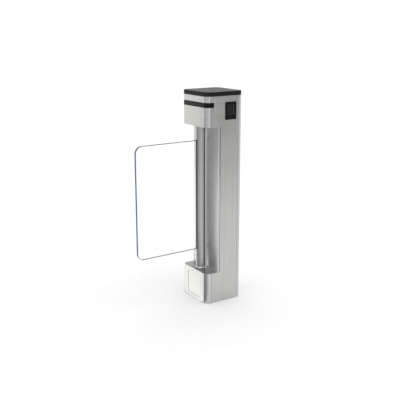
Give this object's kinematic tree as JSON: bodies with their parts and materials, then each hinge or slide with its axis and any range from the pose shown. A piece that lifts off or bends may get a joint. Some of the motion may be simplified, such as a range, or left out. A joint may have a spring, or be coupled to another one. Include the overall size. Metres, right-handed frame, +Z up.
{
  "type": "swing barrier gate",
  "caption": "Slim stainless steel gate pillar with a card reader and one clear wing on a pivot tube that swings both ways across a pedestrian lane.",
  "frame": {"origin": "middle of the pillar's footprint, on the floor", "axes": "+Z up, -X towards the lane that the wing closes, -Y towards the user's side with the card reader"},
  "size_m": [0.5134, 0.2103, 1],
  "materials": {
    "brushed_panels": "vertical brushed grain, satin",
    "polished_steel": "polished",
    "plain_steel": "machined",
    "zinc_plate": "zinc plated",
    "cast_aluminium": "as cast and machined",
    "black_gloss": "glossy",
    "black_plastic": "fine satin",
    "grey_gloss": "glossy",
    "light_strip": "frosted",
    "black_rubber": "matt",
    "clear_acrylic": "clear, polished edges",
    "board_green": "satin",
    "terminal_green": "satin"
  },
  "bodies": {
    "cabinet": {"base_plate": "zinc_plate", "reader_side_panel": "brushed_panels", "far_side_panel": "brushed_panels", "back_panel": "brushed_panels", "head_lane_cover": "brushed_panels", "base_lane_cover": "brushed_panels", "base_access_cover": "brushed_panels", "base_deck": "polished_steel", "head_floor": "brushed_panels", "column_face": "polished_steel", "top_cover": "black_plastic", "top_panel": "grey_gloss", "cable_grommet": "black_rubber", "earth_stud": "plain_steel", "light_band": "black_gloss", "light_board": "board_green", "reader_bezel": "black_plastic", "reader_window": "black_gloss", "reader_light": "light_strip", "reader_module": "black_plastic", "head_bearing_housing": "cast_aluminium", "head_bearing": "plain_steel", "encoder_bracket": "zinc_plate", "encoder": "black_plastic", "lower_bearing_housing": "cast_aluminium", "lower_bearing": "plain_steel", "deck_bearing_housing": "cast_aluminium", "deck_bearing": "plain_steel", "motor_bracket": "zinc_plate", "motor": "cast_aluminium", "bumper_near": "black_rubber", "bumper_far": "black_rubber", "equipment_plate": "zinc_plate", "power_supply": "zinc_plate", "control_board": "board_green", "terminal_strip": "terminal_green", "hinge_bracket_upper": "zinc_plate", "hinge_bracket_lower": "zinc_plate", "door_pin_upper": "plain_steel", "door_pin_lower": "plain_steel"},
    "wing": {"pivot_tube": "polished_steel", "tube_collar": "polished_steel", "foot_hub": "cast_aluminium", "top_hub": "cast_aluminium", "swing_shaft": "plain_steel", "top_pivot": "plain_steel", "wing_panel": "clear_acrylic", "wing_gasket": "black_rubber", "clamp_bar_near": "cast_aluminium", "clamp_bar_far": "cast_aluminium", "drive_gear": "plain_steel", "stop_arm": "zinc_plate", "shaft_retainer": "zinc_plate"},
    "rotor": {"motor_shaft": "plain_steel", "pinion": "plain_steel"},
    "door": {"access_door": "brushed_panels", "door_lock": "polished_steel"},
    "lock_cam": {"lock_cam": "zinc_plate"}
  },
  "joints": [
    {"name": "wing_swing", "type": "hinge", "parent": "cabinet", "child": "wing", "pos_m": [-0.0652, 0, 0.5], "axis": [0, 0, 1], "range_deg": [-90, 90]},
    {"name": "motor_turn", "type": "hinge", "parent": "cabinet", "child": "rotor", "pos_m": [-0.02395, 0, 0.04], "axis": [0, 0, 1], "range_deg": [-180, 180]},
    {"name": "door_swing", "type": "hinge", "parent": "cabinet", "child": "door", "pos_m": [0.096, 0.0595, 0.5], "axis": [0, 0, 1], "range_deg": [0, 110]},
    {"name": "lock_turn", "type": "hinge", "parent": "door", "child": "lock_cam", "pos_m": [0.0845, -0.055, 0.5], "axis": [-1, 0, 0], "range_deg": [0, 90]}
  ],
  "couplings": [
    {"joint": "motor_turn", "follows": "wing_swing", "ratio": -2}
  ]
}
